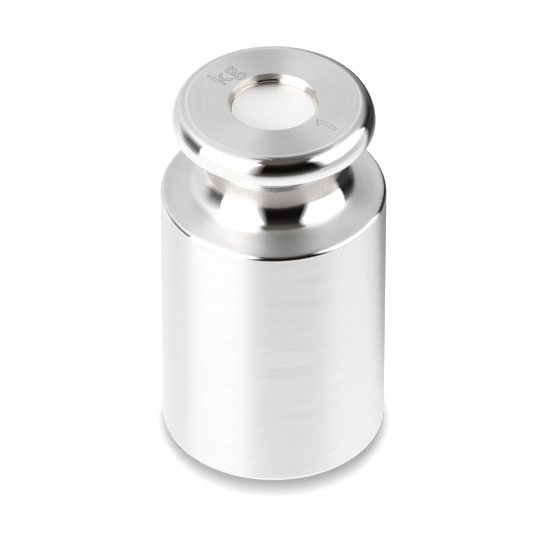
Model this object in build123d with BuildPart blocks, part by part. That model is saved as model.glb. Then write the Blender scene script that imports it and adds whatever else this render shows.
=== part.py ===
"""One-kilogram calibration weight: a cylinder with a lifting knob, turned from stainless steel.

The body, its waisted neck and its flat-topped knob are one piece, all turned on one axis.
A stepped bore runs down the axis from the knob's top.  Its narrow lower part is the adjusting
cavity, with a little steel shot in it.  A slotted plug closes the cavity, and a dished cap of
soft metal, pressed in above the plug, is the seal.

Millimetres, +Z up.  The origin is the middle of the flat face that the weight stands on.
"""

import math
import os

from build123d import *

os.makedirs("parts", exist_ok=True)

# ---------------------------------------------------------------- outside of the weight

BODY_DIAMETER = 48.0
BODY_HEIGHT = 61.8
FOOT_RADIUS = 0.6
SHOULDER_EDGE_RADIUS = 1.25

NECK_DIAMETER = 27.2
GROOVE_RADIUS = 8.4

KNOB_DIAMETER = 43.1
KNOB_LOWER_RADIUS = 1.2
KNOB_LAND_HEIGHT = 0.05
# The rim leans in on a wide arc, then turns over on to the flat top on a tighter one
KNOB_FLANK_RADIUS = 6.5
KNOB_FLANK_SWEEP = 32.0
KNOB_CORNER_RADIUS = 3.0

# ---------------------------------------------------------------- bore, from the top down

SEAL_BORE_DIAMETER = 19.0
SEAL_BORE_DEPTH = 3.5
BORE_MOUTH_RADIUS = 0.1
PLUG_BORE_DIAMETER = 16.0
CAVITY_DIAMETER = 12.0
# Deep enough to bring the whole weight to one kilogram in steel of 7.95 g to the cubic centimetre
CAVITY_DEPTH = 53.2
DRILL_POINT_ANGLE = 118.0

# ---------------------------------------------------------------- pieces inside the bore

CAP_RIM_DEPTH = 1.65
CAP_RIM_WIDTH = 0.3
CAP_CORNER_RADIUS = 0.5
# How steeply the dished face meets the rounded corner; it is level at the middle
CAP_DISH_ANGLE = 10.0
CAP_CLEARANCE = 0.02

PLUG_LENGTH = 7.0
PLUG_SINK = 0.5
PLUG_END_CHAMFER = 0.7
PLUG_CLEARANCE = 0.05
PLUG_SLOT_WIDTH = 1.6
PLUG_SLOT_DEPTH = 2.0

SHOT_DIAMETER = 3.0
SHOT_RING_COUNT = 8
SHOT_CLEARANCE = 0.02

# ---------------------------------------------------------------- worked out from the above

body_radius = BODY_DIAMETER / 2
knob_radius = KNOB_DIAMETER / 2
groove_centre_radius = NECK_DIAMETER / 2 + GROOVE_RADIUS
groove_centre_height = BODY_HEIGHT + GROOVE_RADIUS
knob_underside_height = BODY_HEIGHT + 2 * GROOVE_RADIUS
knob_land_top = knob_underside_height + KNOB_LOWER_RADIUS + KNOB_LAND_HEIGHT
corner_centre_rise = (KNOB_FLANK_RADIUS - KNOB_CORNER_RADIUS) * math.sin(math.radians(KNOB_FLANK_SWEEP))
total_height = knob_land_top + corner_centre_rise + KNOB_CORNER_RADIUS

seal_floor_height = total_height - SEAL_BORE_DEPTH
plug_top_height = seal_floor_height - PLUG_SINK
plug_seat_height = plug_top_height - PLUG_LENGTH
cavity_floor_height = plug_seat_height - CAVITY_DEPTH
drill_point_depth = CAVITY_DIAMETER / 2 / math.tan(math.radians(DRILL_POINT_ANGLE / 2))

cap_radius = SEAL_BORE_DIAMETER / 2 - CAP_CLEARANCE
cap_rim_height = total_height - CAP_RIM_DEPTH
cap_corner_centre_radius = cap_radius - CAP_RIM_WIDTH - CAP_CORNER_RADIUS
cap_dish_radius = CAP_CORNER_RADIUS + cap_corner_centre_radius / math.sin(math.radians(CAP_DISH_ANGLE))
plug_radius = PLUG_BORE_DIAMETER / 2 - PLUG_CLEARANCE

# ---------------------------------------------------------------- body, neck and knob in one

with BuildPart() as body:
    with BuildSketch(Plane.XZ) as outline:
        # The body, carried up to the middle of the groove
        Rectangle(body_radius, groove_centre_height, align=(Align.MIN, Align.MIN))
        # The knob, from the middle of the groove to its flat top
        with BuildLine():
            land = Polyline(
                (0, groove_centre_height),
                (knob_radius, groove_centre_height),
                (knob_radius, knob_land_top),
            )
            flank = JernArc(land @ 1, land % 1, KNOB_FLANK_RADIUS, KNOB_FLANK_SWEEP)
            corner = JernArc(flank @ 1, flank % 1, KNOB_CORNER_RADIUS, 90 - KNOB_FLANK_SWEEP)
            Polyline(corner @ 1, (0, total_height), land @ 0)
        make_face()
        # The lifting groove, cut straight in with a round-nosed tool
        with Locations((groove_centre_radius, groove_centre_height)):
            Circle(GROOVE_RADIUS, mode=Mode.SUBTRACT)
            Rectangle(
                body_radius,
                2 * GROOVE_RADIUS,
                align=(Align.MIN, Align.CENTER),
                mode=Mode.SUBTRACT,
            )
        corners = outline.vertices()
        foot_corner = corners.sort_by_distance((body_radius, 0))[0]
        fillet(foot_corner, FOOT_RADIUS)
        corners = outline.vertices()
        shoulder_corner = corners.sort_by_distance((body_radius, BODY_HEIGHT))[0]
        fillet(shoulder_corner, SHOULDER_EDGE_RADIUS)
        corners = outline.vertices()
        knob_corner = corners.sort_by_distance((knob_radius, knob_underside_height))[0]
        fillet(knob_corner, KNOB_LOWER_RADIUS)
    revolve(axis=Axis.Z)

    # The stepped bore: seal, plug and cavity, with the drill's point left at the bottom
    with BuildSketch(Plane.XZ) as bore:
        with BuildLine():
            Polyline(
                (0, total_height),
                (SEAL_BORE_DIAMETER / 2, total_height),
                (SEAL_BORE_DIAMETER / 2, seal_floor_height),
                (PLUG_BORE_DIAMETER / 2, seal_floor_height),
                (PLUG_BORE_DIAMETER / 2, plug_seat_height),
                (CAVITY_DIAMETER / 2, plug_seat_height),
                (CAVITY_DIAMETER / 2, cavity_floor_height),
                (0, cavity_floor_height - drill_point_depth),
                close=True,
            )
        make_face()
    revolve(axis=Axis.Z, mode=Mode.SUBTRACT)
    mouth = body.edges().filter_by(GeomType.CIRCLE).group_by(Axis.Z)[-1].sort_by(SortBy.RADIUS)[0]
    fillet(mouth, BORE_MOUTH_RADIUS)

body.part.label = "body"
export_step(body.part, "parts/body.step")

# ---------------------------------------------------------------- dished cap, pressed in

with BuildPart() as sealing_cap:
    with BuildSketch(Plane.XZ):
        with BuildLine():
            rim = Polyline(
                (cap_radius, seal_floor_height),
                (cap_radius, cap_rim_height),
                (cap_radius - CAP_RIM_WIDTH, cap_rim_height),
            )
            rounded = JernArc(rim @ 1, (0, -1), CAP_CORNER_RADIUS, CAP_DISH_ANGLE - 90)
            dish = JernArc(rounded @ 1, rounded % 1, cap_dish_radius, -CAP_DISH_ANGLE)
            Polyline(dish @ 1, (0, seal_floor_height), rim @ 0)
        make_face()
    revolve(axis=Axis.Z)

sealing_cap.part.label = "sealing_cap"
export_step(sealing_cap.part, "parts/sealing_cap.step")

# ---------------------------------------------------------------- slotted plug over the cavity

with BuildPart() as closing_plug:
    with BuildSketch(Plane.XY.offset(plug_seat_height)):
        Circle(plug_radius)
    extrude(amount=PLUG_LENGTH)
    rims = closing_plug.edges().filter_by(GeomType.CIRCLE)
    chamfer(rims, PLUG_END_CHAMFER)
    with BuildSketch(Plane.XY.offset(plug_top_height)):
        Rectangle(PLUG_BORE_DIAMETER, PLUG_SLOT_WIDTH)
    extrude(amount=-PLUG_SLOT_DEPTH, mode=Mode.SUBTRACT)

closing_plug.part.label = "closing_plug"
export_step(closing_plug.part, "parts/closing_plug.step")

# ---------------------------------------------------------------- steel shot in the cavity

# Each ball lies on the cone that the drill left, whose wall rises at this angle
cone_rise = math.radians(90 - DRILL_POINT_ANGLE / 2)
shot_radius = SHOT_DIAMETER / 2
ring_radius = CAVITY_DIAMETER / 2 - shot_radius - SHOT_CLEARANCE
cone_tip_height = cavity_floor_height - drill_point_depth
seat_rise = (shot_radius + SHOT_CLEARANCE) / math.cos(cone_rise)
centre_ball_height = cone_tip_height + seat_rise
ring_ball_height = centre_ball_height + ring_radius * math.tan(cone_rise)

with BuildPart() as adjusting_shot:
    with Locations((0, 0, centre_ball_height)):
        Sphere(shot_radius)
    with Locations((0, 0, ring_ball_height)):
        with PolarLocations(ring_radius, SHOT_RING_COUNT):
            Sphere(shot_radius)

adjusting_shot.part.label = "adjusting_shot"
export_step(adjusting_shot.part, "parts/adjusting_shot.step")
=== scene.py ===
"""Looks of the one-kilogram calibration weight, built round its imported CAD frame.

The turned body is remade as a fine lathe mesh with the same sizes, so that its polished groove
and rim mirror cleanly, and the numeral and unit are engraved in its knob.  The dished cap, the
plug and the shot stay as the CAD has them, with better materials.

The weight's sizes are in millimetres and the studio's distances in metres, which are Blender's
own unit.  Angles are in degrees.  +Z is up, -Y is the front.
"""

import math

import bpy
from mathutils import Matrix, Vector


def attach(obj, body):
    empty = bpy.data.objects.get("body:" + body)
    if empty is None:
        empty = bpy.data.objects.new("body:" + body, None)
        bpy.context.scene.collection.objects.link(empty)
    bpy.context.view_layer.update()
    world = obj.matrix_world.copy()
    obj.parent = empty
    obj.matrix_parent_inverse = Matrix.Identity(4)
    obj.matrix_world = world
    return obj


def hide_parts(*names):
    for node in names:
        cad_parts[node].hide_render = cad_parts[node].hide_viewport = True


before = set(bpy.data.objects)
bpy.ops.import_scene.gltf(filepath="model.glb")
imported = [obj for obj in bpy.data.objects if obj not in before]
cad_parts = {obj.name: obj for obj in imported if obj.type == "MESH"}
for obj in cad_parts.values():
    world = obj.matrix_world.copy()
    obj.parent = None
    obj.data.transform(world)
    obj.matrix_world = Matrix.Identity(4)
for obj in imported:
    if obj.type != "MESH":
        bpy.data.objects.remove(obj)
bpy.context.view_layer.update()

MM = 0.001

# ------------------------------------------------------------------ sizes of the body, mm

BODY_RADIUS = 24.0
BODY_HEIGHT = 61.8
FOOT_RADIUS = 0.6
SHOULDER_EDGE_RADIUS = 1.25

NECK_RADIUS = 13.6
GROOVE_RADIUS = 8.4

KNOB_RADIUS = 21.55
KNOB_LOWER_RADIUS = 1.2
KNOB_LAND_HEIGHT = 0.05
# The rim leans in on a wide arc, then turns over on to the flat top on a tighter one
KNOB_FLANK_RADIUS = 6.5
KNOB_FLANK_SWEEP = 32.0
KNOB_CORNER_RADIUS = 3.0

SEAL_BORE_RADIUS = 9.5
SEAL_BORE_DEPTH = 3.5
BORE_MOUTH_RADIUS = 0.1
PLUG_BORE_RADIUS = 8.0
PLUG_BORE_DEPTH = 7.5
CAVITY_RADIUS = 6.0
CAVITY_DEPTH = 53.2
DRILL_POINT_ANGLE = 118.0

# Centres of the outline's arcs, as (radius, height)
groove_centre = (NECK_RADIUS + GROOVE_RADIUS, BODY_HEIGHT + GROOVE_RADIUS)
land_top = BODY_HEIGHT + 2 * GROOVE_RADIUS + KNOB_LOWER_RADIUS + KNOB_LAND_HEIGHT
flank_centre = (KNOB_RADIUS - KNOB_FLANK_RADIUS, land_top)
corner_reach = KNOB_FLANK_RADIUS - KNOB_CORNER_RADIUS
corner_centre = (
    flank_centre[0] + corner_reach * math.cos(math.radians(KNOB_FLANK_SWEEP)),
    flank_centre[1] + corner_reach * math.sin(math.radians(KNOB_FLANK_SWEEP)),
)
total_height = corner_centre[1] + KNOB_CORNER_RADIUS
flat_top_radius = corner_centre[0]

# ------------------------------------------------------------------ fineness of the mesh

LATHE_SEGMENTS = 256
ARC_STEP = 2.5
SHARP_ANGLE = 25.0
# A straight run longer than this gets a point this near each of its ends, mm
GUARD_WIDTH = 0.08
GUARDED_LENGTH = 5 * GUARD_WIDTH
# Nearer than this, mm, two points count as one, and a point counts as on the axis
SAME_POINT = 1e-6
ON_AXIS = 1e-9

# ------------------------------------------------------------------ engraving, mm

GROOVE_LINE_RADIUS = 0.075
GROOVE_LINE_FINENESS = 2
# The direction in which the marks' up points, from +X
MARK_UP = 139.6

NUMERAL_FOOT = (13.25, -9.06)
NUMERAL_HEIGHT = 5.05
NUMERAL_STEM = 0.77
NUMERAL_HEAD_WIDTH = 0.48
# Where the head's slope meets the flag, the flag's tip, and the height of its root on the stem
NUMERAL_BEND = (-0.95, 4.32)
NUMERAL_FLAG_TIP = (-1.75, 3.95)
NUMERAL_FLAG_THICKNESS = 0.5
NUMERAL_FLAG_ROOT = 3.78

UNIT_CENTRE_RADIUS = 13.6
UNIT_CENTRE_ANGLE = 138.2
UNIT_TEXT_SIZE = 6.8
UNIT_SPACING = 1.12

# A face of the marks lies at least this far below the flat top, and between these two radii
ENGRAVED_LEAST_DEPTH = 1e-4
ENGRAVED_INSIDE = SEAL_BORE_RADIUS + 0.3
ENGRAVED_OUTSIDE = flat_top_radius - 0.01

# ------------------------------------------------------------------ where each finish lies, mm

# Each pair says where a finish begins to show and where it is full, in height or in radius
WALL_ABOVE_FOOT = (0.5, 0.9)
WALL_BELOW_EDGE = (BODY_HEIGHT - 0.9, BODY_HEIGHT - 1.3)
WALL_SIDE = (23.3, 23.7)
SHOULDER_INSIDE = (16.4, 18.0)
SHOULDER_OUTSIDE = (23.6, 23.2)
SHOULDER_ABOVE = (66.0, 65.0)
SHOULDER_BELOW = (BODY_HEIGHT - 0.5, BODY_HEIGHT - 0.2)
TOP_LEVEL = (80.0, 81.0)
TOP_OUTSIDE = (18.7, 17.9)
NECK_BELOW = (66.8, 68.1)
NECK_ABOVE = (71.5, 70.7)
NECK_SIDE = (15.0, 14.6)
CROWN_LEVEL = (total_height - 0.7, total_height - 0.1)
OUTSIDE_BORE = (SEAL_BORE_RADIUS, SEAL_BORE_RADIUS + 0.06)
INSIDE_BORE = (SEAL_BORE_RADIUS + 0.06, SEAL_BORE_RADIUS)
BORE_LEVEL = (BODY_HEIGHT, BODY_HEIGHT + 2.0)
CAP_WALL = (SEAL_BORE_RADIUS - 1.0, SEAL_BORE_RADIUS - 0.7)

# ------------------------------------------------------------------ finishes and colours

POLISHED_ROUGHNESS = 0.06
WALL_ROUGHNESS = 0.35
SHOULDER_ROUGHNESS = 0.55
TOP_ROUGHNESS = 0.36
NECK_ROUGHNESS = 0.36
# With the broad marks, a turned finish's roughness goes from this share up by this spread
ROUGHNESS_LEAST = 0.85
ROUGHNESS_SPREAD = 0.3
ANISOTROPY = 0.9
# A quarter turn draws the highlights out across the turning marks
ANISOTROPY_TURN = 0.25

# Turning marks: their length and pitch, mm
FINE_MARKS = (6.0, 0.34)
BROAD_MARKS = (14.0, 1.1)
CAP_MARKS = (4.0, 0.5)
PLUG_MARKS = (4.0, 0.3)
SHOT_MARKS = (1.0, 1.0)
MARK_DETAIL = 2.0
# The fine marks' share in the steel's relief; the broad marks have the rest
FINE_SHARE = 0.7
# Between these values of its noise, a speckle or a streak goes from none to full
NOISE_MIDDLE = (0.35, 0.65)
# The neck's speckle: noise cells to the metre, and its height against the turning marks'
SPECKLE_SCALE = 2600.0
SPECKLE_DETAIL = 1.0
SPECKLE_RELIEF = 4.0
ENGRAVED_SPECKLE_SCALE = 4000.0
ENGRAVED_SPECKLE_DETAIL = 2.0

# Depth of the relief, mm
STEEL_RELIEF = 0.006
CAP_RELIEF = 0.003
PLAIN_RELIEF = 0.004

STEEL = (0.95, 0.945, 0.935, 1.0)
# A duller, darker steel: the duller colour of the grain and the neck, and painted shade on the
# crown
DULL_AND_SHADED_STEEL = (0.60, 0.592, 0.60, 1.0)
WARM_STEEL = (0.84, 0.80, 0.74, 1.0)
# How far each part of the steel goes towards the duller, darker colour, and the neck towards warm;
# on the crown this darker colour is painted shade
CROWN_PAINTED_SHADE = 0.66
NECK_DULL = 0.25
NECK_SPECKLE_DULL = 0.5
STREAKS_DULL = 0.08
NECK_WARM = 0.6

# The grooves' colour, darkened as painted shade in the engraved recesses
GROOVE_SHADE_DARK = (0.34, 0.33, 0.32, 1.0)
GROOVE_SHADE_LIGHT = (0.46, 0.45, 0.44, 1.0)
ENGRAVED_ROUGHNESS = 0.45

CAP_LIGHT = (1.0, 1.0, 1.0, 1.0)
CAP_DARK = (0.97, 0.97, 0.968, 1.0)
CAP_ROUGHNESS = 0.42
CAP_WALL_COLOUR = (0.78, 0.75, 0.70, 1.0)
CAP_WALL_ROUGHNESS = 0.12

# ------------------------------------------------------------------ camera

# Solved from the photo: focal length in its pixels, place in mm, and how far it looks down
IMAGE_WIDTH = 533
FOCAL_PIXELS = 8218.0
CAMERA_PLACE = (-1.456, -1354.96, 1155.98)
CAMERA_ELEVATION = 39.48
SENSOR_WIDTH = 36.0
# How far the camera sees, m
CAMERA_REACH = 20.0

# ------------------------------------------------------------------ studio, m

FLOOR_HALF = 3.0
# The floor lies this far under the foot, so that the two faces don't coincide
FLOOR_DROP = 0.02 * MM

CARD_CENTRE = Vector((0.0, 0.0, 0.065))
# No two cards share a distance, so that one never hides another by chance
CARD_DISTANCE = 0.7
CARD_STEP = 0.01
CARD_COLUMNS = 48
CARD_ROWS = 32
# A card's soft edge takes up at least this share of it
LEAST_SOFT_SHARE = 1e-4
NEUTRAL = (1.0, 1.0, 1.0)
BROWN = (1.14, 1.0, 0.86)


# ------------------------------------------------------------------ the turned body


def put_in_scene(name, data):
    thing = bpy.data.objects.new(name, data)
    bpy.context.scene.collection.objects.link(thing)
    return thing


def arc(centre, radius, start, end):
    """Points on an arc in the (radius, height) plane, both ends included."""
    steps = max(2, math.ceil(abs(end - start) / ARC_STEP))
    points = []
    for i in range(steps + 1):
        angle = math.radians(start + (end - start) * i / steps)
        points.append((centre[0] + radius * math.cos(angle), centre[1] + radius * math.sin(angle)))
    return points


def body_outline():
    """The body's half section: from the foot's middle, up the outside, and down the bore."""
    lower_r = KNOB_RADIUS - KNOB_LOWER_RADIUS
    reach = GROOVE_RADIUS + KNOB_LOWER_RADIUS
    lower_z = groove_centre[1] + math.sqrt(reach**2 - (groove_centre[0] - lower_r) ** 2)
    meet = math.degrees(math.atan2(lower_z - groove_centre[1], lower_r - groove_centre[0]))

    shoulder_edge = (BODY_RADIUS - SHOULDER_EDGE_RADIUS, BODY_HEIGHT - SHOULDER_EDGE_RADIUS)
    mouth = (SEAL_BORE_RADIUS + BORE_MOUTH_RADIUS, total_height - BORE_MOUTH_RADIUS)
    seal_floor = total_height - SEAL_BORE_DEPTH
    plug_seat = seal_floor - PLUG_BORE_DEPTH
    cavity_floor = plug_seat - CAVITY_DEPTH
    point_depth = CAVITY_RADIUS / math.tan(math.radians(DRILL_POINT_ANGLE / 2))

    runs = [
        [(0.0, 0.0)],
        arc((BODY_RADIUS - FOOT_RADIUS, FOOT_RADIUS), FOOT_RADIUS, -90, 0),
        arc(shoulder_edge, SHOULDER_EDGE_RADIUS, 0, 90),
        arc(groove_centre, GROOVE_RADIUS, 270, meet),
        arc((lower_r, lower_z), KNOB_LOWER_RADIUS, meet - 180, 0),
        arc(flank_centre, KNOB_FLANK_RADIUS, 0, KNOB_FLANK_SWEEP),
        arc(corner_centre, KNOB_CORNER_RADIUS, KNOB_FLANK_SWEEP, 90),
        arc(mouth, BORE_MOUTH_RADIUS, 90, 180),
        [
            (SEAL_BORE_RADIUS, seal_floor),
            (PLUG_BORE_RADIUS, seal_floor),
            (PLUG_BORE_RADIUS, plug_seat),
            (CAVITY_RADIUS, plug_seat),
            (CAVITY_RADIUS, cavity_floor),
            (0.0, cavity_floor - point_depth),
        ],
    ]
    points = []
    for run in runs:
        for point in run:
            if not points or math.dist(points[-1], point) > SAME_POINT:
                points.append(point)
    return points


def with_guards(points):
    """Adds a point near each end of a long straight run, so that shading stays flat along it."""
    guarded = [points[0]]
    for start, end in zip(points, points[1:]):
        length = math.dist(start, end)
        if length > GUARDED_LENGTH:
            for share in (GUARD_WIDTH / length, 1 - GUARD_WIDTH / length):
                radius = start[0] + (end[0] - start[0]) * share
                height = start[1] + (end[1] - start[1]) * share
                guarded.append((radius, height))
        guarded.append(end)
    return guarded


def lathe(name, points):
    """A closed mesh turned from a half section whose two ends lie on the axis."""
    vertices = []
    rings = []
    for radius, height in points:
        if radius < ON_AXIS:
            rings.append([len(vertices)])
            vertices.append((0.0, 0.0, height * MM))
            continue
        ring = []
        for i in range(LATHE_SEGMENTS):
            angle = 2 * math.pi * i / LATHE_SEGMENTS
            x, y = radius * MM * math.cos(angle), radius * MM * math.sin(angle)
            ring.append(len(vertices))
            vertices.append((x, y, height * MM))
        rings.append(ring)
    faces = []
    for lower, upper in zip(rings, rings[1:]):
        for i in range(LATHE_SEGMENTS):
            j = (i + 1) % LATHE_SEGMENTS
            if len(lower) == 1:
                faces.append((lower[0], upper[j], upper[i]))
            elif len(upper) == 1:
                faces.append((lower[i], lower[j], upper[0]))
            else:
                faces.append((lower[i], lower[j], upper[j], upper[i]))
    mesh = bpy.data.meshes.new(name)
    mesh.from_pydata(vertices, [], faces)
    mesh.validate()
    mesh.update()
    return put_in_scene(name, mesh)


# ------------------------------------------------------------------ the engraving


def mark_frame(origin):
    """Places a mark drawn in millimetres on the knob's flat top, with its up direction outwards."""
    turn = math.radians(MARK_UP - 90)
    place = Matrix.Translation(Vector((origin[0], origin[1], total_height)) * MM)
    return place @ Matrix.Rotation(turn, 4, "Z") @ Matrix.Scale(MM, 4)


def numeral_curve():
    """The outline of a plain figure one; its origin is the foot's right-hand corner."""
    points = [
        (0.0, 0.0),
        (0.0, NUMERAL_HEIGHT),
        (-NUMERAL_HEAD_WIDTH, NUMERAL_HEIGHT),
        NUMERAL_BEND,
        NUMERAL_FLAG_TIP,
        (NUMERAL_FLAG_TIP[0], NUMERAL_FLAG_TIP[1] - NUMERAL_FLAG_THICKNESS),
        (-NUMERAL_STEM, NUMERAL_FLAG_ROOT),
        (-NUMERAL_STEM, 0.0),
    ]
    curve = bpy.data.curves.new("numeral", "CURVE")
    curve.dimensions = "3D"
    spline = curve.splines.new("POLY")
    spline.points.add(len(points) - 1)
    for slot, (x, y) in zip(spline.points, points):
        slot.co = (x, y, 0.0, 1.0)
    spline.use_cyclic_u = True
    return curve


def unit_curve():
    """The outline of the unit, in Blender's own plain typeface."""
    curve = bpy.data.curves.new("unit", "FONT")
    curve.body = "kg"
    curve.size = UNIT_TEXT_SIZE
    curve.align_x = "CENTER"
    curve.align_y = "CENTER"
    curve.fill_mode = "NONE"
    curve.space_character = UNIT_SPACING
    return curve


def evaluated_mesh(thing):
    """A mesh of the object as its curve settings or its modifiers make it."""
    bpy.context.view_layer.update()
    depsgraph = bpy.context.evaluated_depsgraph_get()
    return bpy.data.meshes.new_from_object(thing.evaluated_get(depsgraph))


def engrave(body):
    """Cuts the outlines of the numeral and the unit into the knob's top as fine round grooves."""
    angle = math.radians(UNIT_CENTRE_ANGLE)
    unit_place = (UNIT_CENTRE_RADIUS * math.cos(angle), UNIT_CENTRE_RADIUS * math.sin(angle))
    for curve, origin in ((numeral_curve(), NUMERAL_FOOT), (unit_curve(), unit_place)):
        curve.bevel_depth = GROOVE_LINE_RADIUS
        curve.bevel_resolution = GROOVE_LINE_FINENESS
        line = put_in_scene(curve.name, curve)
        mesh = evaluated_mesh(line)
        mesh.transform(mark_frame(origin))
        cutter = put_in_scene("cutter", mesh)
        cut = body.modifiers.new("engraving", "BOOLEAN")
        cut.operation = "DIFFERENCE"
        cut.solver = "MANIFOLD"
        cut.object = cutter
        cut_mesh = evaluated_mesh(body)
        body.modifiers.clear()
        body.data = cut_mesh
        bpy.data.objects.remove(cutter)
        bpy.data.objects.remove(line)


def finish_surface(body):
    """Smooth shading everywhere except over real corners."""
    body.data.shade_smooth()
    body.data.set_sharp_from_angle(angle=math.radians(SHARP_ANGLE))


def paint(body, steel, engraved):
    """Puts the steel on the body, and the engraved material in the grooves of its marks."""
    body.data.materials.clear()
    body.data.materials.append(steel)
    body.data.materials.append(engraved)
    for face in body.data.polygons:
        reach = math.hypot(face.center.x, face.center.y) / MM
        depth = total_height - face.center.z / MM
        in_groove = ENGRAVED_LEAST_DEPTH < depth < 2 * GROOVE_LINE_RADIUS
        on_flat_top = ENGRAVED_INSIDE < reach < ENGRAVED_OUTSIDE
        face.material_index = 1 if in_groove and on_flat_top else 0


# ------------------------------------------------------------------ materials


class Nodes:
    """A short way of writing one material's or world's node tree."""

    def __init__(self, owner):
        owner.use_nodes = True
        self.tree = owner.node_tree
        self.tree.nodes.clear()

    def add(self, kind, settings=None, **inputs):
        """A new node.  An input is given by its name, or by its place as i0, i1 and so on."""
        node = self.tree.nodes.new(kind)
        for key, value in (settings or {}).items():
            setattr(node, key, value)
        for key, value in inputs.items():
            place = int(key[1:]) if key[1:].isdigit() else key.replace("_", " ")
            socket = node.inputs[place]
            if isinstance(value, bpy.types.NodeSocket):
                self.tree.links.new(value, socket)
            else:
                socket.default_value = value
        return node

    def math(self, operation, *values):
        places = {f"i{place}": value for place, value in enumerate(values)}
        return self.add("ShaderNodeMath", {"operation": operation}, **places).outputs[0]

    def ramp(self, value, low, high):
        """0 at low, 1 at high, smooth between and level beyond; low may be above high."""
        rising = low < high
        node = self.add("ShaderNodeMapRange", {"interpolation_type": "SMOOTHSTEP"}, Value=value)
        node.inputs["From Min"].default_value = min(low, high)
        node.inputs["From Max"].default_value = max(low, high)
        node.inputs["To Min"].default_value = 0.0 if rising else 1.0
        node.inputs["To Max"].default_value = 1.0 if rising else 0.0
        return node.outputs["Result"]

    def product(self, *values):
        result = values[0]
        for value in values[1:]:
            result = self.math("MULTIPLY", result, value)
        return result

    def total(self, *values):
        result = values[0]
        for value in values[1:]:
            result = self.math("ADD", result, value)
        return result

    def zone(self, *limits):
        """1 where all the limits hold; each is a value and the pair from which it ramps up."""
        return self.product(*(self.ramp(value, *pair) for value, pair in limits))

    def mix(self, share, first, second):
        """A colour between two others."""
        node = self.add("ShaderNodeMix", {"data_type": "RGBA"}, Factor=share, A=first, B=second)
        return node.outputs["Result"]

    def noise(self, place, scale, detail):
        node = self.add("ShaderNodeTexNoise", Vector=place, Scale=scale, Detail=detail)
        return node.outputs["Fac"]

    def bump(self, height, depth_mm, strength=1.0):
        node = self.add("ShaderNodeBump", Height=height, Strength=strength, Distance=depth_mm * MM)
        return node.outputs["Normal"]

    def object_place(self):
        return self.add("ShaderNodeTexCoord").outputs["Object"]

    def show_metal(self, **inputs):
        shader = self.add("ShaderNodeBsdfPrincipled", Metallic=1.0, **inputs)
        self.add("ShaderNodeOutputMaterial", Surface=shader.outputs["BSDF"])


def turned_coordinates(nodes):
    """Radius and height in mm, and a place that varies fast across the turning marks."""
    place = nodes.object_place()
    axes = nodes.add("ShaderNodeSeparateXYZ", Vector=place)
    flat = nodes.add("ShaderNodeCombineXYZ", X=axes.outputs["X"], Y=axes.outputs["Y"])
    radius = nodes.add("ShaderNodeVectorMath", {"operation": "LENGTH"}, Vector=flat.outputs[0])
    radius_mm = nodes.math("MULTIPLY", radius.outputs["Value"], 1 / MM)
    height_mm = nodes.math("MULTIPLY", axes.outputs["Z"], 1 / MM)
    across = nodes.math("ADD", radius_mm, height_mm)
    return axes, radius_mm, height_mm, across


def turning_noise(nodes, axes, across, marks):
    """Noise drawn out along the turning marks, given their length and pitch in mm."""
    length, pitch = marks
    along_x = nodes.math("MULTIPLY", axes.outputs["X"], 1 / (MM * length))
    along_y = nodes.math("MULTIPLY", axes.outputs["Y"], 1 / (MM * length))
    over = nodes.math("MULTIPLY", across, 1 / pitch)
    place = nodes.add("ShaderNodeCombineXYZ", X=along_x, Y=along_y, Z=over)
    return nodes.noise(place.outputs[0], 1.0, MARK_DETAIL)


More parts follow.
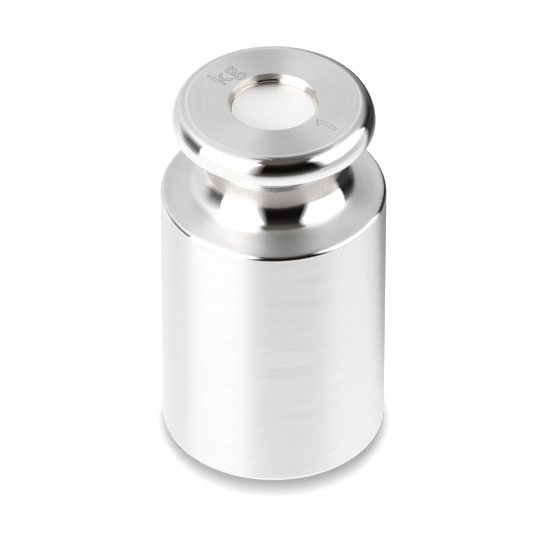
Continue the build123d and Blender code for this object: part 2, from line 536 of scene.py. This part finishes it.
def stainless_material():
    """Stainless steel: satin wall, shoulder, top and neck; polished groove, rim and edges.

    The crown, which is the flat top and the turn of the rim on to it, is darker in colour as
    painted shade, and the bore's wall and the neck are warmer.
    """
    material = bpy.data.materials.new("stainless_steel")
    nodes = Nodes(material)
    axes, radius, height, across = turned_coordinates(nodes)

    wall = nodes.zone((height, WALL_ABOVE_FOOT), (height, WALL_BELOW_EDGE), (radius, WALL_SIDE))
    shoulder = nodes.zone(
        (radius, SHOULDER_INSIDE),
        (radius, SHOULDER_OUTSIDE),
        (height, SHOULDER_ABOVE),
        (height, SHOULDER_BELOW),
    )
    top = nodes.zone((height, TOP_LEVEL), (radius, TOP_OUTSIDE), (radius, OUTSIDE_BORE))
    neck = nodes.zone((height, NECK_BELOW), (height, NECK_ABOVE), (radius, NECK_SIDE))
    bore = nodes.zone((radius, INSIDE_BORE), (height, BORE_LEVEL))
    crown = nodes.zone((height, CROWN_LEVEL), (radius, OUTSIDE_BORE))
    turned = nodes.total(wall, shoulder, top, neck)

    fine = turning_noise(nodes, axes, across, FINE_MARKS)
    broad = turning_noise(nodes, axes, across, BROAD_MARKS)
    speckle = nodes.noise(nodes.object_place(), SPECKLE_SCALE, SPECKLE_DETAIL)

    added_roughness = nodes.total(
        nodes.product(wall, WALL_ROUGHNESS - POLISHED_ROUGHNESS),
        nodes.product(shoulder, SHOULDER_ROUGHNESS - POLISHED_ROUGHNESS),
        nodes.product(top, TOP_ROUGHNESS - POLISHED_ROUGHNESS),
        nodes.product(neck, NECK_ROUGHNESS - POLISHED_ROUGHNESS),
    )
    uneven = nodes.math("MULTIPLY_ADD", broad, ROUGHNESS_SPREAD, ROUGHNESS_LEAST)
    roughness = nodes.total(POLISHED_ROUGHNESS, nodes.product(added_roughness, uneven))

    # The crown's share is painted shade, a darker colour for the darker tone that the top mirrors;
    # the rest makes the neck, its speckle and the streaks duller
    dull_and_shade = nodes.total(
        nodes.product(crown, CROWN_PAINTED_SHADE),
        nodes.product(neck, NECK_DULL),
        nodes.product(neck, nodes.ramp(speckle, *NOISE_MIDDLE), NECK_SPECKLE_DULL),
        nodes.product(turned, nodes.ramp(fine, *NOISE_MIDDLE), STREAKS_DULL),
    )
    warm = nodes.total(bore, nodes.product(neck, NECK_WARM))
    colour = nodes.mix(warm, nodes.mix(dull_and_shade, STEEL, DULL_AND_SHADED_STEEL), WARM_STEEL)

    grain = nodes.total(nodes.product(fine, FINE_SHARE), nodes.product(broad, 1 - FINE_SHARE))
    relief = nodes.total(grain, nodes.product(speckle, neck, SPECKLE_RELIEF))
    tangent = nodes.add("ShaderNodeTangent", {"direction_type": "RADIAL", "axis": "Z"})
    nodes.show_metal(
        Base_Color=colour,
        Roughness=roughness,
        Normal=nodes.bump(relief, STEEL_RELIEF, strength=turned),
        Tangent=tangent.outputs["Tangent"],
        Anisotropic=ANISOTROPY,
        Anisotropic_Rotation=ANISOTROPY_TURN,
    )
    return material


def shaded_groove_material():
    """The grooves of the engraving: duller than the turned top, and darker in colour as painted
    shade in the grooves.
    """
    material = bpy.data.materials.new("engraved_steel_painted_shade")
    nodes = Nodes(material)
    speckle = nodes.noise(nodes.object_place(), ENGRAVED_SPECKLE_SCALE, ENGRAVED_SPECKLE_DETAIL)
    nodes.show_metal(
        # The darker colour is painted shade in the grooves; the roughness makes them duller
        Base_Color=nodes.mix(speckle, GROOVE_SHADE_DARK, GROOVE_SHADE_LIGHT),
        Roughness=ENGRAVED_ROUGHNESS,
    )
    return material


def plain_metal(name, light, dark, smoothest, roughest, marks):
    """A metal with turning marks, for the pieces that the cap hides."""
    material = bpy.data.materials.new(name)
    nodes = Nodes(material)
    axes, _, _, across = turned_coordinates(nodes)
    noise = turning_noise(nodes, axes, across, marks)
    nodes.show_metal(
        Base_Color=nodes.mix(noise, light, dark),
        Roughness=nodes.math("MULTIPLY_ADD", noise, roughest - smoothest, smoothest),
        Normal=nodes.bump(noise, PLAIN_RELIEF),
    )
    return material


def cap_material():
    """The sealing cap: a pale satin floor, with the drawn wall bright like the steel round it."""
    material = bpy.data.materials.new("soft_aluminium")
    nodes = Nodes(material)
    axes, radius, _, across = turned_coordinates(nodes)
    wall = nodes.ramp(radius, *CAP_WALL)
    noise = turning_noise(nodes, axes, across, CAP_MARKS)
    wall_change = CAP_WALL_ROUGHNESS - CAP_ROUGHNESS
    nodes.show_metal(
        Base_Color=nodes.mix(wall, nodes.mix(noise, CAP_LIGHT, CAP_DARK), CAP_WALL_COLOUR),
        Roughness=nodes.math("MULTIPLY_ADD", wall, wall_change, CAP_ROUGHNESS),
        Normal=nodes.bump(noise, CAP_RELIEF),
    )
    return material


def give(node_name, material):
    """Puts a material on a CAD node, whose shape stays."""
    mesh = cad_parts[node_name].data
    mesh.materials.clear()
    mesh.materials.append(material)


# ------------------------------------------------------------------ the studio


def light_seen(nodes):
    """1 for camera, glossy and transmission rays, as long as they haven't met a matt surface."""
    path = nodes.add("ShaderNodeLightPath")
    seen = nodes.math("MAXIMUM", path.outputs["Is Camera Ray"], path.outputs["Is Glossy Ray"])
    seen = nodes.math("MAXIMUM", seen, path.outputs["Is Transmission Ray"])
    direct = nodes.math("LESS_THAN", path.outputs["Diffuse Depth"], 0.5)
    return nodes.product(seen, direct)


def make_world(diffuse_strength):
    """White where it is seen or mirrored; as a light it has only diffuse_strength."""
    world = bpy.data.worlds.new("studio")
    bpy.context.scene.world = world
    nodes = Nodes(world)
    seen = light_seen(nodes)
    strength = nodes.math("MULTIPLY_ADD", seen, 1.0 - diffuse_strength, diffuse_strength)
    background = nodes.add("ShaderNodeBackground", Color=(1.0, 1.0, 1.0, 1.0), Strength=strength)
    nodes.add("ShaderNodeOutputWorld", Surface=background.outputs["Background"])


def painted_floor_reflection(nodes, patches):
    """The glowing grey that the metal mirrors of the floor, a painted reflection whose patches are
    painted shade; make_floor says what a patch is.
    """
    place = nodes.object_place()
    length = nodes.add("ShaderNodeVectorMath", {"operation": "LENGTH"}, Vector=place)
    distance = length.outputs["Value"]
    axes = nodes.add("ShaderNodeSeparateXYZ", Vector=place)
    forward = nodes.math("MULTIPLY", axes.outputs["Y"], -1.0)
    azimuth = nodes.math("DEGREES", nodes.math("ARCTAN2", axes.outputs["X"], forward))
    tone = 1.0
    for left, right, soft_left, soft_right, near, far, grey in patches:
        half_width = (right - left) / 2
        turned = nodes.math("SUBTRACT", azimuth, (left + right) / 2)
        off_middle = nodes.math("WRAP", turned, 180.0, -180.0)
        cover = nodes.zone(
            (off_middle, (-half_width, soft_left - half_width)),
            (off_middle, (half_width, half_width - soft_right)),
            (distance, (near, far)),
        )
        tone = nodes.add("ShaderNodeMix", Factor=cover, A=tone, B=grey).outputs["Result"]
    return tone


def make_floor(albedo, glow, patches):
    """A plain pale floor; it keeps the weight's shadow.

    patches are painted shade in what the metal mirrors of the floor, which there glows as a painted
    reflection that grows darker away from the weight: the azimuths at either side of each, the
    width of its two soft edges in degrees, the distances in metres over which it sets in, and its
    grey.
    """
    mesh = bpy.data.meshes.new("floor")
    signs = ((-1, -1), (1, -1), (1, 1), (-1, 1))
    corners = [(x * FLOOR_HALF, y * FLOOR_HALF, 0.0) for x, y in signs]
    mesh.from_pydata(corners, [], [(0, 1, 2, 3)])
    floor = put_in_scene("floor", mesh)
    floor.location.z = -FLOOR_DROP

    material = bpy.data.materials.new("floor")
    nodes = Nodes(material)
    path = nodes.add("ShaderNodeLightPath")
    own_light = nodes.math("MULTIPLY", path.outputs["Is Camera Ray"], glow)
    diffuse = nodes.add("ShaderNodeBsdfDiffuse", Color=(albedo, albedo, albedo, 1.0))
    glowing = nodes.add("ShaderNodeEmission", Strength=own_light)
    seen = nodes.add("ShaderNodeAddShader", i0=diffuse.outputs[0], i1=glowing.outputs[0])
    # Mirrored rays see a glowing grey in place of the lit floor: a painted reflection, with painted
    # shade in its patches
    mirrored = nodes.add("ShaderNodeEmission", Strength=painted_floor_reflection(nodes, patches))
    both = nodes.add(
        "ShaderNodeMixShader",
        Fac=path.outputs["Is Glossy Ray"],
        i1=seen.outputs[0],
        i2=mirrored.outputs[0],
    )
    nodes.add("ShaderNodeOutputMaterial", Surface=both.outputs[0])
    mesh.materials.append(material)


def direction(azimuth, elevation):
    """Unit vector; azimuth 0 is the front, 90 the right-hand side."""
    az, el = math.radians(azimuth), math.radians(elevation)
    return Vector((math.sin(az) * math.cos(el), -math.cos(az) * math.cos(el), math.sin(el)))


def edge_azimuths(edges, elevation):
    """The azimuths of a card's two sides at one elevation, between the ones that edges lists."""
    for (low, low_left, low_right), (high, high_left, high_right) in zip(edges, edges[1:]):
        if elevation <= high:
            break
    share = (elevation - low) / (high - low)
    return low_left + (high_left - low_left) * share, low_right + (high_right - low_right) * share


def card_mesh(name, distance, edges):
    """A grid bent round the weight, whose UV map runs from 0 to 1 along it and up it."""
    low, high = edges[0][0], edges[-1][0]
    vertices, faces, places = [], [], []
    for j in range(CARD_ROWS + 1):
        for i in range(CARD_COLUMNS + 1):
            u, v = i / CARD_COLUMNS, j / CARD_ROWS
            elevation = low + (high - low) * v
            left, right = edge_azimuths(edges, elevation)
            azimuth = left + (right - left) * u
            vertices.append(CARD_CENTRE + direction(azimuth, elevation) * distance)
            places.append((u, v))
    for j in range(CARD_ROWS):
        for i in range(CARD_COLUMNS):
            a = j * (CARD_COLUMNS + 1) + i
            faces.append((a, a + 1, a + CARD_COLUMNS + 2, a + CARD_COLUMNS + 1))
    mesh = bpy.data.meshes.new(name)
    mesh.from_pydata(vertices, [], faces)
    layer = mesh.uv_layers.new(name="place")
    for loop in mesh.loops:
        layer.data[loop.index].uv = places[loop.vertex_index]
    return mesh


def card_material(name, edges, tones, soft, tint):
    """A card's grey, which changes with elevation and fades out at the card's soft edges."""
    material = bpy.data.materials.new(name)
    nodes = Nodes(material)
    where = nodes.add("ShaderNodeSeparateXYZ", Vector=nodes.add("ShaderNodeUVMap").outputs["UV"])
    u, v = where.outputs["X"], where.outputs["Y"]
    low, high = edges[0][0], edges[-1][0]
    tall = high - low
    wide = sum(right - left for _, left, right in edges) / len(edges)
    left, right, bottom, top = soft
    cover = nodes.zone(
        (u, (0.0, max(left / wide, LEAST_SOFT_SHARE))),
        (u, (1.0, 1.0 - max(right / wide, LEAST_SOFT_SHARE))),
        (v, (0.0, max(bottom / tall, LEAST_SOFT_SHARE))),
        (v, (1.0, 1.0 - max(top / tall, LEAST_SOFT_SHARE))),
    )
    tone = nodes.add("ShaderNodeValToRGB", Fac=v)
    stops = tone.color_ramp.elements
    # A new stop's place doesn't matter, as each one is then moved to its own
    while len(stops) < len(tones):
        stops.new(0.5)
    for stop, (elevation, grey) in zip(stops, tones):
        stop.position = (elevation - low) / tall
        stop.color = (grey * tint[0], grey * tint[1], grey * tint[2], 1.0)
    emission = nodes.add("ShaderNodeEmission", Color=tone.outputs["Color"])
    clear = nodes.add("ShaderNodeBsdfTransparent")
    mixed = nodes.add(
        "ShaderNodeMixShader",
        Fac=cover,
        i1=clear.outputs[0],
        i2=emission.outputs[0],
    )
    nodes.add("ShaderNodeOutputMaterial", Surface=mixed.outputs[0])
    return material


def card(name, order, edges, tones, soft, tint=NEUTRAL):
    """A grey card beside the weight, for the metal alone to mirror.

    order 0 is the farthest card, and each next one is a step nearer and hides what is behind it.
    edges lists (elevation, left azimuth, right azimuth) from the card's bottom to its top, and
    tones lists (elevation, grey).  soft gives the width of its soft edges in degrees: left,
    right, bottom, top.
    """
    mesh = card_mesh(name, CARD_DISTANCE - order * CARD_STEP, edges)
    mesh.materials.append(card_material(name, edges, tones, soft, tint))
    thing = put_in_scene(name, mesh)
    thing.visible_camera = False
    thing.visible_diffuse = False
    thing.visible_shadow = False
    thing.visible_transmission = False


def softbox(name, azimuth, elevation, distance, size, radiance, mirrored=True):
    """A soft area lamp aimed at the weight.

    A mirrored one shows in the metal and lights nothing else.  One that isn't mirrored lights
    the floor, and so draws the weight's shadow, but doesn't show in the metal.
    """
    lamp = bpy.data.lights.new(name, "AREA")
    lamp.shape = "RECTANGLE"
    lamp.size, lamp.size_y = size
    lamp.energy = radiance * math.pi * size[0] * size[1]
    thing = put_in_scene(name, lamp)
    thing.location = CARD_CENTRE + direction(azimuth, elevation) * distance
    thing.rotation_euler = (-direction(azimuth, elevation)).to_track_quat("-Z", "Y").to_euler()
    thing.visible_camera = False
    thing.visible_glossy = mirrored
    thing.visible_diffuse = not mirrored


def make_camera():
    """The photo's camera, from its focal length in the photo's own pixels."""
    lens = bpy.data.cameras.new("camera")
    lens.sensor_width = SENSOR_WIDTH
    lens.lens = FOCAL_PIXELS / IMAGE_WIDTH * SENSOR_WIDTH
    lens.clip_end = CAMERA_REACH
    camera = put_in_scene("camera", lens)
    camera.location = Vector(CAMERA_PLACE) * MM
    camera.rotation_euler = (math.radians(90 - CAMERA_ELEVATION), 0.0, 0.0)
    bpy.context.scene.camera = camera


# ------------------------------------------------------------------ building it

make_camera()

body = lathe("turned_body", with_guards(body_outline()))
engrave(body)
finish_surface(body)
paint(body, stainless_material(), shaded_groove_material())
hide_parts("body")
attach(body, "root")

give("sealing_cap", cap_material())
give(
    "closing_plug",
    plain_metal(
        "plug_steel",
        light=(0.66, 0.65, 0.64, 1.0),
        dark=(0.55, 0.54, 0.53, 1.0),
        smoothest=0.25,
        roughest=0.4,
        marks=PLUG_MARKS,
    ),
)
give(
    "adjusting_shot",
    plain_metal(
        "shot_steel",
        light=(0.75, 0.75, 0.75, 1.0),
        dark=(0.68, 0.68, 0.68, 1.0),
        smoothest=0.08,
        roughest=0.16,
        marks=SHOT_MARKS,
    ),
)

make_world(diffuse_strength=0.06)
make_floor(
    albedo=0.86,
    glow=0.10,
    patches=[
        (-28, 58, 14, 12, 0.06, 0.65, 0.14),
        (46, 118, 8, 8, 0.08, 0.35, 0.58),
        (150, 250, 14, 20, 0.08, 0.28, 0.74),
        (88, 170, 26, 10, -0.02, 0.09, 0.76),
        (110, 180, 10, 16, 0.0, 0.20, 0.04),
        (-124, -80, 24, 6, 0.20, 0.40, 0.34),
    ],
)

softbox("softbox_left", azimuth=-54, elevation=28, distance=0.9, size=(1.0, 0.9), radiance=1.15)
softbox("softbox_right", azimuth=82, elevation=25, distance=0.9, size=(1.05, 0.8), radiance=0.20)
softbox(
    "overhead",
    azimuth=180,
    elevation=87.3,
    distance=4.8,
    size=(0.34, 0.68),
    radiance=380.0,
    mirrored=False,
)

# Behind the weight: the flat top, the shoulder and the cap mirror these
card(
    "back_left",
    order=0,
    edges=[(-6, 176, 255), (54, 176, 255)],
    tones=[(-6, 0.72), (10, 0.76), (25, 0.82), (35, 0.84), (45, 0.92), (54, 1.0)],
    soft=(8, 22, 0.1, 8),
)
card(
    "back_right",
    order=1,
    edges=[(-6, 112, 182), (60, 112, 182)],
    tones=[(-6, 0.42), (20, 0.47), (33, 0.50), (40, 0.64), (50, 0.78), (60, 0.75)],
    soft=(20, 10, 0.1, 6),
)
card(
    "back_window",
    order=2,
    edges=[(24, 152, 208), (62, 152, 208)],
    tones=[(24, 0.9), (34, 1.1), (50, 1.15), (62, 0.9)],
    soft=(18, 18, 10, 10),
)

# Dark strips low at both sides: the sides of the rim and the groove mirror these
card(
    "right_strip",
    order=3,
    edges=[(-6, 114, 176), (34, 114, 176)],
    tones=[(-6, 0.04), (0, 0.02), (8, 0.015), (14, 0.04), (20, 0.10), (26, 0.25), (34, 0.45)],
    soft=(3, 40, 0.1, 8),
)
card(
    "left_strip",
    order=4,
    edges=[(-6, -128, -80), (34, -128, -80)],
    tones=[(-6, 0.22), (1, 0.11), (7, 0.14), (13, 0.26), (19, 0.44), (25, 0.68), (34, 0.95)],
    soft=(30, 4, 0.1, 6),
)

# Overhead: the upper turn of the rim and of the shoulder's edge mirror these
card(
    "overhead_right",
    order=5,
    edges=[(56, 56, 196), (90, 56, 196)],
    tones=[(56, 0.8), (60, 0.62), (65, 0.48), (70, 0.27), (76, 0.17), (85, 0.13), (90, 0.14)],
    soft=(14, 16, 5, 0),
)
card(
    "overhead_left",
    order=6,
    edges=[(76, -175, -25), (90, -175, -25)],
    tones=[(76, 0.8), (80, 0.5), (85, 0.27), (90, 0.17)],
    soft=(10, 16, 4, 0),
)
card(
    "overhead_front",
    order=7,
    edges=[(50, -25, 58), (65, -31, 74), (75, -36, 84), (85, -60, 90), (90, -60, 90)],
    tones=[(50, 0.06), (56, 0.085), (65, 0.11), (75, 0.10), (85, 0.125), (90, 0.14)],
    soft=(16, 16, 6, 0),
    tint=BROWN,
)

# The dark gap in front, where a photographer stands: the rim and the groove mirror it
card(
    "front_gap",
    order=8,
    edges=[
        (-6, -30, 62),
        (5, -30, 59),
        (15, -28, 56),
        (25, -26, 53),
        (35, -24, 50),
        (45, -23, 50),
        (62, -29, 66),
    ],
    tones=[
        (-6, 0.12),
        (-1, 0.06),
        (4, 0.022),
        (10, 0.005),
        (28, 0.004),
        (38, 0.012),
        (46, 0.022),
        (51, 0.06),
        (62, 0.12),
    ],
    soft=(18, 13, 0.1, 8),
    tint=BROWN,
)

bpy.context.scene.view_settings.view_transform = "Standard"
